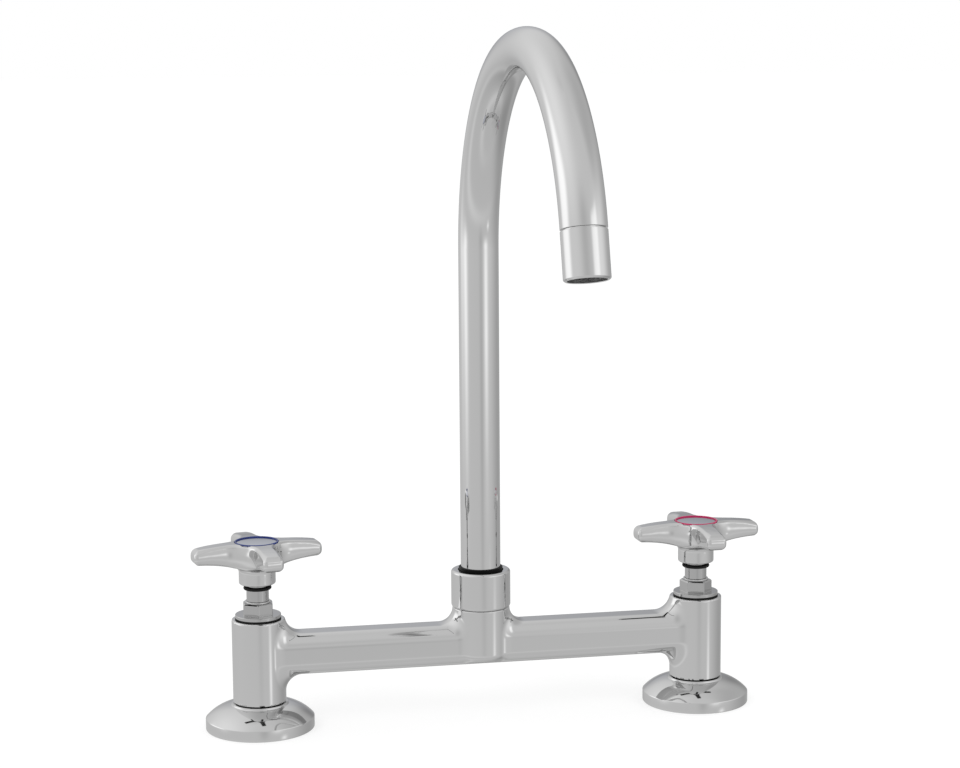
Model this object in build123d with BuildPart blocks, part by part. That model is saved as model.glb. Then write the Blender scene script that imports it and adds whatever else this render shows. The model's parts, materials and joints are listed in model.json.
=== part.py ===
"""Bridge kitchen faucet: two valve pillars joined by a bar, with a swivelling gooseneck spout.

Millimetres, +Z up. The origin is on the deck, midway between the two inlets. +X runs along the
bridge towards the hot side and -Y towards the person at the sink. The model stands as it is seen:
both valves shut and the spout turned a little towards the hot side.
"""
from build123d import *
import os
from math import cos, hypot, radians, sin

os.makedirs("parts", exist_ok=True)

# ---- Driving sizes, in millimetres and degrees -----------------------------------------------
inlet_centres = 203.0        # the usual eight-inch spacing of a bridge faucet
fit = 0.05                   # radial clearance of what turns or slides in its bore
ease = 0.10                  # clearance of what is fitted once and then stays put
play = 0.05                  # gap left between faces that turn on each other

# Base flanges, which also take the supply pipes
flange_r = 24.4
flange_rim = 4.7             # height of the upright rim
flange_h = 11.8              # height of the flat top that a pillar stands on
flange_step = 0.7            # how far that top reaches past the pillar
dome_bulge = 1.2             # how far the dome stands above a straight cone
inlet_thread_r = 9.3         # wall of the half-inch pipe thread
inlet_thread_depth = 9.0
nipple_r = 8.4               # the flange's own thread, up into the pillar
nipple_length = 9.0
nipple_bore_r = 6.0
gasket_inset = 2.8           # rim left outside the gasket
gasket_w = 6.0
gasket_t = 1.5
foot_washer_t = 0.6
foot_washer_inset = 1.4      # how far the washer stays back from the pillar's skin

# Bridge casting
pillar_r = 11.9
pillar_under_bar = 12.0      # free height of a pillar below the bar
pillar_over_bar = 7.0        # and above it
foot_bevel = 1.2
bar_height = 18.6
bar_depth = 19.0
bar_corner = 6.0
bar_bore_r = 5.0
pillar_blend = 8.0           # casting fillet between bar and pillar
boss_wall = 1.62             # how far the boss stands out past its neck
boss_over_pillar = 0.5
boss_below = 7.0             # how far the boss reaches below the bar's centre line
boss_blend = 7.0
boss_rim = 3.0               # rounding of the boss's lower rim

# Valve seat and the washer that shuts on it
chamber_r = 8.6
seat_floor = 0.6             # metal between the flange's nipple and the seat
seat_thread_r = 6.4
seat_depth = 3.0
seat_wall = 1.9
seat_flange_w = 1.1
seat_flange_t = 0.6
seat_lip_w = 1.0
seat_lip_h = 0.8
washer_over = 0.8            # how far the washer covers past the lip
washer_t = 2.7
jumper_rim = 0.4             # how far the jumper's disc covers past the washer
jumper_disc_t = 2.0
jumper_peg_r = 1.7
jumper_nut_r = 3.2
jumper_nut_t = 1.5
valve_lift = 3.0

# Headwork, screwed into the pillar, and the stem that turns in it
shank_length = 10.8
head_gasket_t = 0.7
head_gasket_proud = 0.05     # how far the gasket shows past the disc
disc_inset = 1.65            # how far the disc stays back from the pillar's skin
disc_t = 1.5
hex_across = 13.0
hex_h = 5.3
hex_chamfer = 0.5
guide_below_top = 3.3        # from the pillar's top down to the inner end of the jumper's guide
stem_r = 5.0
stem_thread_r = 3.4
stem_collar_w = 0.6
stem_collar_t = 2.1
stem_seal_depth = 4.2        # from the hexagon's top down to the stem's seal
stem_seal_wire = 0.45        # radius of the seal's round section
stem_shows = 8.6             # bare height between hexagon and handle
clip_proud = 0.7
clip_t = 0.8
clip_groove = 0.6
dust_ring_wire = 0.75
dust_ring_groove = 0.25      # how deep that ring sits in the stem
dust_ring_drop = 1.1         # how far it stays below the handle

# Cross handles
handle_h = 19.2
skirt_r = 8.2
skirt_bevel = 0.8
skirt_h = 6.9                # straight part of the skirt
hub_flare = 1.0              # how far the hub's flare stays inside the cross's hub
arm_reach = 29.3
arm_half = 4.7
arm_web = 10.5               # rounding between neighbouring arms
arm_corner = 1.8
arm_edge = 1.0
arm_fall = 1.8               # how far the top slopes down from hub to tip
arm_tip_t = 6.7
arm_root_t = 11.9
arm_crown = 0.35             # how far the arms' top bulges above a straight slope
arm_belly = 1.2              # and how far their underside is hollowed above one
index_wall = 1.2             # wall between the index recess and the hub's edge
index_ring_w = 0.65
index_depth = 2.6
index_dome = 0.35
stem_square = 5.8
stem_in_skirt = 1.0          # how far the round stem reaches into the skirt
handle_web = 2.8             # metal between the stem's square and the screw's head
screw_r = 2.0
screw_head_r = 3.5
screw_head_h = 2.2
screw_length = 9.0
screw_slot = 0.9
handle_turn = {"cold": 10.0, "hot": 3.0}    # from square to the bridge
hex_turn = {"cold": 26.0, "hot": -15.0}     # the spanner hexagons stand as they were tightened

# Spout
tube_r = 9.0
tube_wall = 1.0
tube_straight = 160.7
tube_in_ferrule = 8.5
bend_r = 87.3
bend_angle = 165.9
spout_turn = 2.3             # how far the spout points round from straight ahead
ferrule_wall = 1.13
ferrule_depth = 8.0          # from the boss's top down to the ferrule's foot
ferrule_step = 0.4           # the ledge that the tube stands on
ferrule_flange_t = 1.5
neck_h = 11.0
neck_wall = 1.2
mixing_bore_r = 7.0
ring_wire = 0.6
ring_rise = {"lower": 3.0, "upper": 7.0}    # of each seal above the ferrule's foot
nut_wall = 1.97
nut_lip = 2.45               # thickness of the lip that holds the bush down
nut_edge = 1.2
bush_flange_t = 1.95
bush_proud = 1.4
bush_wall = 0.92

# Outlet
outlet_length = 19.3
outlet_seam = 0.35
outlet_seam_depth = 0.3
outlet_wall = 1.4
outlet_spigot = 4.0
outlet_spigot_gap = 0.3
outlet_edge = 0.6
outlet_lip = 1.0
insert_inset = 1.2
insert_h = 8.0
insert_hole_r = 0.55
insert_pitch = 1.9
insert_rim = 0.5             # plain edge left outside the outermost holes
screen_t = 0.4
outlet_washer_t = 1.6
outlet_washer_w = 1.6

# ---- Places worked out from them -------------------------------------------------------------
pillar_x = {"cold": -inlet_centres / 2, "hot": inlet_centres / 2}
flange_top_r = pillar_r + flange_step
gasket_outer_r = flange_r - gasket_inset
gasket_inner_r = gasket_outer_r - gasket_w
foot_z = flange_h + foot_washer_t
bar_bottom = foot_z + pillar_under_bar
bar_middle = bar_bottom + bar_height / 2
bar_top = bar_bottom + bar_height
pillar_top = bar_top + pillar_over_bar
boss_top = pillar_top + boss_over_pillar

socket_top = flange_h + nipple_length + 4 * ease
seat_bottom = socket_top + seat_floor
chamber_floor = seat_bottom + seat_depth
seat_flange_r = seat_thread_r + seat_flange_w
seat_hole_r = seat_thread_r - seat_wall
seat_lip_r = seat_hole_r + seat_lip_w
seat_flange_top = chamber_floor + seat_flange_t
seat_top = seat_flange_top + seat_lip_h
washer_r = seat_lip_r + washer_over
washer_bottom = seat_top + play
washer_top = washer_bottom + washer_t
jumper_disc_r = washer_r + jumper_rim
jumper_disc_top = washer_top + jumper_disc_t

disc_r = pillar_r - disc_inset
disc_bottom = pillar_top + head_gasket_t
hex_bottom = disc_bottom + disc_t
hex_top = hex_bottom + hex_h
shank_r = chamber_r - ease
shank_end = pillar_top - shank_length
stem_collar_r = stem_r + stem_collar_w
jumper_across = 2 * stem_collar_r
guide_across = jumper_across + 2 * ease
guide_end = pillar_top - guide_below_top
collar_top = guide_end - play
collar_bottom = collar_top - stem_collar_t
jumper_top = collar_bottom - valve_lift - 4 * ease
stem_end = jumper_disc_top + valve_lift + 5 * ease
seal_z = hex_top - stem_seal_depth
clip_z = hex_top + play

handle_bottom = hex_top + stem_shows
dust_ring_z = handle_bottom - dust_ring_drop - dust_ring_wire
dust_ring_floor = stem_r - dust_ring_groove
handle_top = handle_bottom + handle_h
arm_tip_top = handle_top - arm_fall
arm_tip_bottom = arm_tip_top - arm_tip_t
arm_root_bottom = handle_top - arm_root_t
hub_r = hypot(arm_half + arm_web, arm_half + arm_web) - arm_web
index_r = hub_r - index_wall
index_floor = handle_top - index_depth
screw_seat = index_floor - screw_head_h - 2 * ease
stem_top = handle_bottom + stem_in_skirt
square_top = screw_seat - handle_web - ease

ferrule_r = tube_r + ferrule_wall
ferrule_bore_r = tube_r - tube_wall - ferrule_step
ferrule_foot = boss_top - ferrule_depth
swivel_r = ferrule_r + fit
swivel_floor = ferrule_foot - ease
neck_r = swivel_r + neck_wall
neck_top = boss_top + neck_h
boss_r = neck_r + boss_wall
tube_foot = neck_top - tube_in_ferrule
bend_start = tube_foot + tube_straight
ferrule_flange_z = neck_top + play
ferrule_top = ferrule_flange_z + ferrule_flange_t
bush_z = ferrule_top + play
bush_flange_top = bush_z + bush_flange_t
bush_bore_r = tube_r + fit
bush_r = bush_bore_r + bush_wall
nut_bore_r = neck_r + ease
nut_r = nut_bore_r + nut_wall
nut_lip_z = bush_flange_top + play
nut_top = nut_lip_z + nut_lip
outlet_bore_r = tube_r - outlet_wall
outlet_spigot_r = tube_r - tube_wall - outlet_spigot_gap
insert_r = outlet_bore_r - ease


# ---- Helpers ---------------------------------------------------------------------------------
def upright(x):
    """The upright plane through the axis at x: first coordinate radius, second height."""
    return Plane(origin=(x, 0, 0), x_dir=(1, 0, 0), z_dir=(0, -1, 0))


def level(x, z, turn=0.0):
    """The level plane at height z on the axis at x, turned by so many degrees."""
    return Plane(origin=(x, 0, z), x_dir=(cos(radians(turn)), sin(radians(turn)), 0), z_dir=(0, 0, 1))


def axis_of(plane):
    """The centre line of turned work that is drawn on this plane: its own second direction."""
    return Axis(plane.origin, plane.y_dir)


def outline(plane, *points):
    """A closed outline through (radius, height) points."""
    with BuildSketch(plane) as face:
        with BuildLine():
            Polyline(*points, close=True)
        make_face()
    return face.sketch


def ring(plane, inner, outer, low, high):
    """The outline of a plain ring between two radii and two heights."""
    return outline(plane, (inner, low), (outer, low), (outer, high), (inner, high))


def wire_ring(plane, radius, height, wire):
    """The round section of a ring seal."""
    with BuildSketch(plane) as face:
        with Locations((radius, height)):
            Circle(wire)
    return face.sketch


def save(piece, name):
    """Name a finished piece and write its file."""
    piece.part.label = name
    export_step(piece.part, f"parts/{name}.step")


# ---- Base flange, its gasket and the washer under the pillar ---------------------------------
def base_flange(side):
    """A forged dome with a pipe thread below and a threaded nipple above."""
    plane = upright(pillar_x[side])
    dome_mid = ((flange_r + flange_top_r) / 2, (flange_rim + flange_h) / 2 + dome_bulge)
    with BuildSketch(plane) as section:
        with BuildLine():
            Polyline((inlet_thread_r, 0), (gasket_inner_r, 0), (gasket_inner_r, gasket_t),
                     (gasket_outer_r, gasket_t), (gasket_outer_r, 0), (flange_r, 0),
                     (flange_r, flange_rim))
            ThreePointArc((flange_r, flange_rim), dome_mid, (flange_top_r, flange_h))
            Polyline((flange_top_r, flange_h), (nipple_r, flange_h),
                     (nipple_r, flange_h + nipple_length), (nipple_bore_r, flange_h + nipple_length),
                     (nipple_bore_r, inlet_thread_depth), (inlet_thread_r, inlet_thread_depth),
                     (inlet_thread_r, 0))
        make_face()
    with BuildPart() as flange:
        revolve(section.sketch, axis=axis_of(plane))
    save(flange, f"base_flange_{side}")


def base_gasket(side):
    """The flat rubber ring let into the underside of a flange."""
    plane = upright(pillar_x[side])
    with BuildPart() as gasket:
        revolve(ring(plane, gasket_inner_r + ease, gasket_outer_r - ease, 0, gasket_t),
                axis=axis_of(plane))
    save(gasket, f"base_gasket_{side}")


def foot_washer(side):
    """The black fibre washer in the groove between flange and pillar."""
    plane = upright(pillar_x[side])
    with BuildPart() as washer:
        revolve(ring(plane, nipple_r + ease, pillar_r - foot_washer_inset, flange_h, foot_z),
                axis=axis_of(plane))
    save(washer, f"foot_washer_{side}")


# ---- Bridge casting --------------------------------------------------------------------------
def junction(part, x, reach):
    """The edges where the bar enters the upright piece at x."""
    found = ShapeList()
    for edge in part.edges():
        middle = edge.center()
        near = abs(middle.X - x) < reach and bar_bottom - ease < middle.Z < bar_top + ease
        along_bar = edge.geom_type == GeomType.LINE and abs(edge.tangent_at(0.5).X) > 0.9
        if near and not along_bar:
            found.append(edge)
    return found


def bridge_body():
    """Two pillars and a centre boss on one bar, with the water ways bored in afterwards."""
    with BuildPart() as body:
        with BuildSketch(Plane.YZ.offset(-inlet_centres / 2)):
            with Locations((0, bar_middle)):
                RectangleRounded(bar_depth, bar_height, bar_corner)
        extrude(amount=inlet_centres)
        # The uprights start too tall, so that the blends above the bar have room to form.
        spare = pillar_blend + boss_blend
        for x in pillar_x.values():
            with BuildSketch(level(x, foot_z, 180 if x < 0 else 0)):
                Circle(pillar_r)
            extrude(amount=pillar_top + spare - foot_z)
        for x in pillar_x.values():
            fillet(junction(body, x, pillar_r + ease), pillar_blend)
        with BuildSketch(level(0, bar_middle - boss_below, 90)):
            Circle(boss_r)
        extrude(amount=boss_top + spare - bar_middle + boss_below)
        rim = junction(body, 0, boss_r + ease).filter_by(GeomType.CIRCLE).group_by(Axis.Z)[0]
        fillet(rim, boss_rim)
        meeting = junction(body, 0, boss_r + ease)
        meeting = meeting.filter_by(lambda edge: abs(edge.center().X) > ease)
        fillet(meeting, boss_blend)
        for x, top in ((pillar_x["cold"], pillar_top), (0, boss_top), (pillar_x["hot"], pillar_top)):
            with BuildSketch(level(x, top)):
                Rectangle(inlet_centres / 2, 4 * pillar_r)
            extrude(amount=2 * spare, mode=Mode.SUBTRACT)
        feet = body.edges().filter_by(GeomType.CIRCLE).group_by(Axis.Z)[0]
        chamfer(feet, foot_bevel)
        with BuildSketch(level(0, boss_top)):
            Circle(neck_r)
        extrude(amount=neck_top - boss_top)
        # Water ways: along the bar, up each pillar and up the boss.
        with BuildSketch(Plane.YZ.offset(-inlet_centres / 2)):
            with Locations((0, bar_middle)):
                Circle(bar_bore_r)
        extrude(amount=inlet_centres, mode=Mode.SUBTRACT)
        for x in pillar_x.values():
            plane = upright(x)
            bore = outline(plane, (0, foot_z), (nipple_r + ease, foot_z), (nipple_r + ease, socket_top),
                           (nipple_bore_r, socket_top), (nipple_bore_r, seat_bottom),
                           (seat_thread_r + ease, seat_bottom), (seat_thread_r + ease, chamber_floor),
                           (chamber_r, chamber_floor), (chamber_r, pillar_top), (0, pillar_top))
            revolve(bore, axis=axis_of(plane), mode=Mode.SUBTRACT)
        plane = upright(0)
        bore = outline(plane, (0, bar_middle - bar_bore_r), (mixing_bore_r, bar_middle - bar_bore_r),
                       (mixing_bore_r, swivel_floor), (swivel_r, swivel_floor), (swivel_r, neck_top),
                       (0, neck_top))
        revolve(bore, axis=axis_of(plane), mode=Mode.SUBTRACT)
    save(body, "bridge_body")


# ---- Valve: seat, headwork, stem and jumper --------------------------------------------------
def valve_seat(side):
    """The screwed-in brass seat with its raised lip."""
    plane = upright(pillar_x[side])
    section = outline(plane, (seat_hole_r, seat_bottom), (seat_thread_r, seat_bottom),
                      (seat_thread_r, chamber_floor), (seat_flange_r, chamber_floor),
                      (seat_flange_r, seat_flange_top), (seat_lip_r, seat_flange_top),
                      (seat_lip_r, seat_top), (seat_hole_r, seat_top))
    with BuildPart() as seat:
        revolve(section, axis=axis_of(plane))
    save(seat, f"valve_seat_{side}")


def headwork_gasket(side):
    """The black gasket between headwork and pillar."""
    plane = upright(pillar_x[side])
    with BuildPart() as gasket:
        revolve(ring(plane, chamber_r, disc_r + head_gasket_proud, pillar_top, disc_bottom),
                axis=axis_of(plane))
    save(gasket, f"headwork_gasket_{side}")


def headwork(side):
    """The brass valve body: shank in the pillar, round disc and spanner hexagon above it."""
    x = pillar_x[side]
    plane = upright(x)
    with BuildPart() as head:
        revolve(outline(plane, (0, shank_end), (shank_r, shank_end), (shank_r, disc_bottom),
                        (disc_r, disc_bottom), (disc_r, hex_bottom), (0, hex_bottom)),
                axis=axis_of(plane))
        with BuildSketch(level(x, hex_bottom, hex_turn[side])):
            RegularPolygon(hex_across / 2, 6, major_radius=False)
        extrude(amount=hex_h)
        chamfer(head.faces().sort_by(Axis.Z)[-1].edges(), hex_chamfer)
        with BuildSketch(level(x, shank_end)):
            RegularPolygon(guide_across / 2, 6, major_radius=False)
        extrude(amount=guide_end - shank_end, mode=Mode.SUBTRACT)
        with BuildSketch(level(x, shank_end)):
            Circle(stem_r + fit)
        extrude(amount=hex_top - shank_end, mode=Mode.SUBTRACT)
    save(head, f"headwork_{side}")


def stem(side):
    """The turning spindle: thread below, collar, sealed journal and a square for the handle."""
    x = pillar_x[side]
    plane = upright(x)
    seal_floor = stem_r - 2 * stem_seal_wire - play
    seal_low = seal_z - stem_seal_wire - ease
    seal_high = seal_z + stem_seal_wire + ease
    clip_floor = stem_r - clip_groove
    clip_high = clip_z + clip_t + ease
    dust_low = dust_ring_z - dust_ring_wire - ease
    dust_high = dust_ring_z + dust_ring_wire + ease
    section = outline(plane, (0, stem_end), (stem_thread_r, stem_end), (stem_thread_r, collar_bottom),
                      (stem_collar_r, collar_bottom), (stem_collar_r, collar_top), (stem_r, collar_top),
                      (stem_r, seal_low), (seal_floor, seal_low), (seal_floor, seal_high),
                      (stem_r, seal_high), (stem_r, clip_z), (clip_floor, clip_z),
                      (clip_floor, clip_high), (stem_r, clip_high), (stem_r, dust_low),
                      (dust_ring_floor, dust_low), (dust_ring_floor, dust_high), (stem_r, dust_high),
                      (stem_r, stem_top), (0, stem_top))
    with BuildPart() as spindle:
        revolve(section, axis=axis_of(plane))
        with BuildSketch(level(x, stem_top, handle_turn[side])):
            Rectangle(stem_square, stem_square)
        extrude(amount=square_top - stem_top)
        with BuildSketch(level(x, square_top)):
            Circle(screw_r + fit)
        extrude(amount=-screw_length, mode=Mode.SUBTRACT)
    save(spindle, f"stem_{side}")


def stem_rings(side):
    """The seal inside the headwork, the spring clip above it and the ring under the handle."""
    plane = upright(pillar_x[side])
    with BuildPart() as seal:
        revolve(wire_ring(plane, stem_r - stem_seal_wire, seal_z, stem_seal_wire), axis=axis_of(plane))
    save(seal, f"stem_seal_{side}")
    with BuildPart() as clip:
        revolve(ring(plane, stem_r - clip_groove + fit, stem_r + clip_proud, clip_z, clip_z + clip_t),
                axis=axis_of(plane))
    save(clip, f"stem_clip_{side}")
    with BuildPart() as dust:
        revolve(wire_ring(plane, dust_ring_floor + dust_ring_wire + fit / 2, dust_ring_z,
                          dust_ring_wire), axis=axis_of(plane))
    save(dust, f"dust_ring_{side}")


def jumper(side):
    """The sliding valve: hexagon in the headwork, disc below it and a peg for the washer."""
    x = pillar_x[side]
    plane = upright(x)
    peg_end = washer_bottom - jumper_nut_t
    with BuildPart() as slider:
        revolve(outline(plane, (0, peg_end), (jumper_peg_r, peg_end), (jumper_peg_r, washer_top),
                        (jumper_disc_r, washer_top), (jumper_disc_r, jumper_disc_top),
                        (0, jumper_disc_top)), axis=axis_of(plane))
        with BuildSketch(level(x, jumper_disc_top)):
            RegularPolygon(jumper_across / 2, 6, major_radius=False)
            Circle(stem_thread_r + fit, mode=Mode.SUBTRACT)
        extrude(amount=jumper_top - jumper_disc_top)
    save(slider, f"jumper_{side}")
    with BuildPart() as washer:
        revolve(ring(plane, jumper_peg_r + fit, washer_r, washer_bottom, washer_top),
                axis=axis_of(plane))
    save(washer, f"jumper_washer_{side}")
    with BuildPart() as nut:
        revolve(ring(plane, jumper_peg_r + fit, jumper_nut_r, peg_end, washer_bottom),
                axis=axis_of(plane))
    save(nut, f"jumper_nut_{side}")


# ---- Cross handle ----------------------------------------------------------------------------
def cross_handle(side):
    """Four blunt arms that slope down from a flat hub, over a flared skirt."""
    x = pillar_x[side]
    turn = handle_turn[side]
    plane = upright(x)
    slope_start = hub_r - hub_flare
    tip = arm_reach + arm_edge
    crown = ((slope_start + tip) / 2, (handle_top + arm_tip_top) / 2 + arm_crown)
    belly = ((skirt_r + tip) / 2, (arm_root_bottom + arm_tip_bottom) / 2 + arm_belly)
    with BuildSketch(plane) as envelope:
        with BuildLine():
            Line((0, handle_top), (slope_start, handle_top))
            ThreePointArc((slope_start, handle_top), crown, (tip, arm_tip_top))
            Line((tip, arm_tip_top), (tip, arm_tip_bottom))
            ThreePointArc((tip, arm_tip_bottom), belly, (skirt_r, arm_root_bottom))
            Polyline((skirt_r, arm_root_bottom), (0, arm_root_bottom), (0, handle_top))
        make_face()
    with BuildPart() as cross:
        with BuildSketch(level(x, arm_root_bottom, turn)) as star:
            for quarter in (0, 90):
                Rectangle(2 * arm_reach, 2 * arm_half, rotation=quarter)
            fillet(star.vertices().sort_by_distance((0, 0))[:4], arm_web)
            fillet(star.vertices().sort_by_distance((0, 0))[-8:], arm_corner)
        extrude(amount=handle_top - arm_root_bottom)
        revolve(envelope.sketch, axis=axis_of(plane), mode=Mode.INTERSECT)
        rims = ShapeList()
        for edge in cross.edges():
            middle = edge.center()
            spread = hypot(middle.X - x, middle.Y)
            shallow = edge.bounding_box().size.Z < index_depth
            upper = middle.Z > arm_tip_top - index_depth and edge.geom_type != GeomType.CIRCLE
            lower = middle.Z < arm_tip_bottom + arm_edge and spread > skirt_r + arm_half
            if shallow and spread > skirt_r and (upper or lower):
                rims.append(edge)
        fillet(rims, arm_edge)
        flare_top = handle_top - index_depth
        flare_foot = handle_bottom + skirt_h
        with BuildSketch(plane) as skirt:
            with BuildLine():
                Polyline((0, handle_bottom), (skirt_r - skirt_bevel, handle_bottom),
                         (skirt_r, handle_bottom + skirt_bevel), (skirt_r, flare_foot))
                flare_mid = (skirt_r + hub_flare / 2, (flare_foot + flare_top) / 2)
                ThreePointArc((skirt_r, flare_foot), flare_mid, (hub_r - hub_flare / 2, flare_top))
                Polyline((hub_r - hub_flare / 2, flare_top), (0, flare_top), (0, handle_bottom))
            make_face()
        revolve(skirt.sketch, axis=axis_of(plane))
        # From above: the index recess and the screw's head. From below: the stem and its square.
        for radius, low, high in ((index_r + ease, index_floor, handle_top),
                                  (screw_head_r + 2 * ease, screw_seat, index_floor),
                                  (screw_r + 2 * ease, square_top, screw_seat),
                                  (stem_r + fit, handle_bottom, stem_top + ease)):
            with BuildSketch(level(x, low)):
                Circle(radius)
            extrude(amount=high - low, mode=Mode.SUBTRACT)
        with BuildSketch(level(x, stem_top, turn)):
            Rectangle(stem_square + 2 * ease, stem_square + 2 * ease)
        extrude(amount=square_top + ease - stem_top, mode=Mode.SUBTRACT)
    save(cross, f"handle_{side}")


def handle_screw(side):
    """The slotted screw that holds a handle on its stem."""
    x = pillar_x[side]
    plane = upright(x)
    head_top = screw_seat + screw_head_h
    with BuildPart() as screw:
        revolve(outline(plane, (0, screw_seat - screw_length), (screw_r, screw_seat - screw_length),
                        (screw_r, screw_seat), (screw_head_r, screw_seat), (screw_head_r, head_top),
                        (0, head_top)), axis=axis_of(plane))
        with BuildSketch(level(x, head_top)):
            Rectangle(3 * screw_head_r, screw_slot)
        extrude(amount=-screw_head_h / 2, mode=Mode.SUBTRACT)
    save(screw, f"handle_screw_{side}")


def index_button(side):
    """The coloured ring and the plain disc inside it that cover the screw."""
    plane = upright(pillar_x[side])
    disc_edge = index_r - index_ring_w
    rim_z = handle_top - index_dome
    with BuildPart() as band:
        revolve(ring(plane, disc_edge, index_r, index_floor, handle_top), axis=axis_of(plane))
    save(band, f"index_ring_{side}")
    with BuildSketch(plane) as section:
        with BuildLine():
            Polyline((0, handle_top), (0, index_floor), (disc_edge - fit, index_floor),
                     (disc_edge - fit, rim_z))
            TangentArc((0, handle_top), (disc_edge - fit, rim_z), tangent=(1, 0))
        make_face()
    with BuildPart() as disc:
        revolve(section.sketch, axis=axis_of(plane))
    save(disc, f"index_disc_{side}")


# ---- Spout -----------------------------------------------------------------------------------
lean = radians(spout_turn)
out_dir = Vector(sin(lean), -cos(lean), 0)
side_dir = Vector(cos(lean), sin(lean), 0)
spout_plane = Plane(origin=(0, 0, 0), x_dir=out_dir, z_dir=-side_dir)
bend = radians(bend_angle)
reach = bend_r * (1 - cos(bend))
outlet_start = out_dir * reach + Vector(0, 0, bend_start + bend_r * sin(bend))
down_dir = out_dir * sin(bend) + Vector(0, 0, cos(bend))
outlet_plane = Plane(origin=outlet_start, x_dir=side_dir, z_dir=side_dir.cross(down_dir))


def spout_tube():
    """A bright tube that rises, bends over and points down at the sink."""
    with BuildPart() as tube:
        with BuildLine(spout_plane) as path:
            Line((0, tube_foot), (0, bend_start))
            CenterArc((bend_r, bend_start), bend_r, 180, -bend_angle)
        for radius, mode in ((tube_r, Mode.ADD), (tube_r - tube_wall, Mode.SUBTRACT)):
            with BuildSketch(level(0, tube_foot)) as section:
                Circle(radius)
            sweep(section.sketch, path=path.wire(), mode=mode)
    save(tube, "spout_tube")


def spout_ferrule():
    """The brass sleeve on the tube's foot that turns in the boss."""
    plane = upright(0)
    points = [(ferrule_bore_r, ferrule_foot), (ferrule_r, ferrule_foot)]
    floor = ferrule_r - 2 * ring_wire - play
    for rise in ring_rise.values():
        low = ferrule_foot + rise - ring_wire - ease
        high = ferrule_foot + rise + ring_wire + ease
        points += [(ferrule_r, low), (floor, low), (floor, high), (ferrule_r, high)]
    points += [(ferrule_r, ferrule_flange_z), (neck_r - ease, ferrule_flange_z),
               (neck_r - ease, ferrule_top), (tube_r + fit, ferrule_top),
               (tube_r + fit, tube_foot - fit), (ferrule_bore_r, tube_foot - fit)]
    with BuildPart() as ferrule:
        revolve(outline(plane, *points), axis=axis_of(plane))
    save(ferrule, "spout_ferrule")
    for name, rise in ring_rise.items():
        with BuildPart() as seal:
            revolve(wire_ring(plane, ferrule_r - ring_wire, ferrule_foot + rise, ring_wire),
                    axis=axis_of(plane))
        save(seal, f"spout_seal_{name}")


def spout_nut():
    """The round nut on the boss, and the black bush that it holds round the tube."""
    plane = upright(0)
    lip_r = bush_r + 3 * ease
    with BuildPart() as nut:
        revolve(outline(plane, (nut_bore_r, boss_top), (nut_r, boss_top), (nut_r, nut_top),
                        (lip_r, nut_top), (lip_r, nut_lip_z), (nut_bore_r, nut_lip_z)),
                axis=axis_of(plane))
        outer = nut.edges().filter_by(lambda edge: edge.geom_type == GeomType.CIRCLE
                                      and edge.radius > nut_r - ease)
        fillet(outer, nut_edge)
    save(nut, "spout_nut")
    with BuildPart() as bush:
        revolve(outline(plane, (bush_bore_r, bush_z), (neck_r - ease, bush_z),
                        (neck_r - ease, bush_flange_top), (bush_r, bush_flange_top),
                        (bush_r, nut_top + bush_proud), (bush_bore_r, nut_top + bush_proud)),
                axis=axis_of(plane))
    save(bush, "spout_bush")


# ---- Outlet ----------------------------------------------------------------------------------
def outlet_housing():
    """The end cap that screws into the tube and holds the flow straightener."""
    section = outline(outlet_plane, (outlet_spigot_r - tube_wall, -outlet_spigot),
                      (outlet_spigot_r, -outlet_spigot), (outlet_spigot_r, 0),
                      (tube_r - outlet_seam_depth, 0), (tube_r - outlet_seam_depth, outlet_seam),
                      (tube_r, outlet_seam), (tube_r, outlet_length - outlet_edge),
                      (tube_r - outlet_edge, outlet_length), (outlet_bore_r, outlet_length),
                      (outlet_bore_r, outlet_lip), (outlet_spigot_r - tube_wall, outlet_lip))
    with BuildPart() as housing:
        revolve(section, axis=axis_of(outlet_plane))
    save(housing, "outlet_housing")


def outlet_pieces():
    """Inside the housing: sealing washer, wire screen and the straightener with its holes."""
    washer_end = outlet_lip + outlet_washer_t
    screen_end = outlet_length - insert_inset - insert_h
    with BuildPart() as washer:
        revolve(ring(outlet_plane, insert_r - outlet_washer_w, insert_r, outlet_lip, washer_end),
                axis=axis_of(outlet_plane))
    save(washer, "outlet_washer")
    with BuildPart() as spacer:
        revolve(ring(outlet_plane, insert_r - tube_wall, insert_r, washer_end, screen_end - screen_t),
                axis=axis_of(outlet_plane))
    save(spacer, "outlet_spacer")
    face = Plane(origin=outlet_start + down_dir * screen_end, x_dir=side_dir, z_dir=down_dir)
    room = insert_r - insert_rim - insert_hole_r
    rows = 2 * int(room / insert_pitch) + 3
    square = GridLocations(insert_pitch, insert_pitch, rows, rows)
    hexagonal = HexLocations(insert_pitch / 2, rows, rows)
    for name, pattern, height in (("screen", square, -screen_t), ("straightener", hexagonal, insert_h)):
        spots = [spot.position for spot in pattern if spot.position.length <= room]
        with BuildPart() as disc:
            with BuildSketch(face):
                Circle(insert_r)
                with Locations(*spots):
                    Circle(insert_hole_r, mode=Mode.SUBTRACT)
            extrude(amount=height)
        save(disc, f"outlet_{name}")


for side in pillar_x:
    base_flange(side)
    base_gasket(side)
    foot_washer(side)
    valve_seat(side)
    headwork_gasket(side)
    headwork(side)
    stem(side)
    stem_rings(side)
    jumper(side)
    cross_handle(side)
    handle_screw(side)
    index_button(side)
bridge_body()
spout_tube()
spout_ferrule()
spout_nut()
outlet_housing()
outlet_pieces()
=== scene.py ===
# %% [markdown]
# # A chrome bridge kitchen faucet
#
# This file dresses a finished CAD model of a faucet so that it looks like the real thing: bright
# chrome in a white studio. It reads like a notebook. Each step first says what the piece is and why
# it is made in this way, and then makes it. All sizes are in millimetres, as on a workshop drawing,
# and are turned into metres only when a mesh is made.

import json
from math import cos, pi, radians, sin

import bpy
import numpy as np
from mathutils import Matrix, Vector


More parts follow.
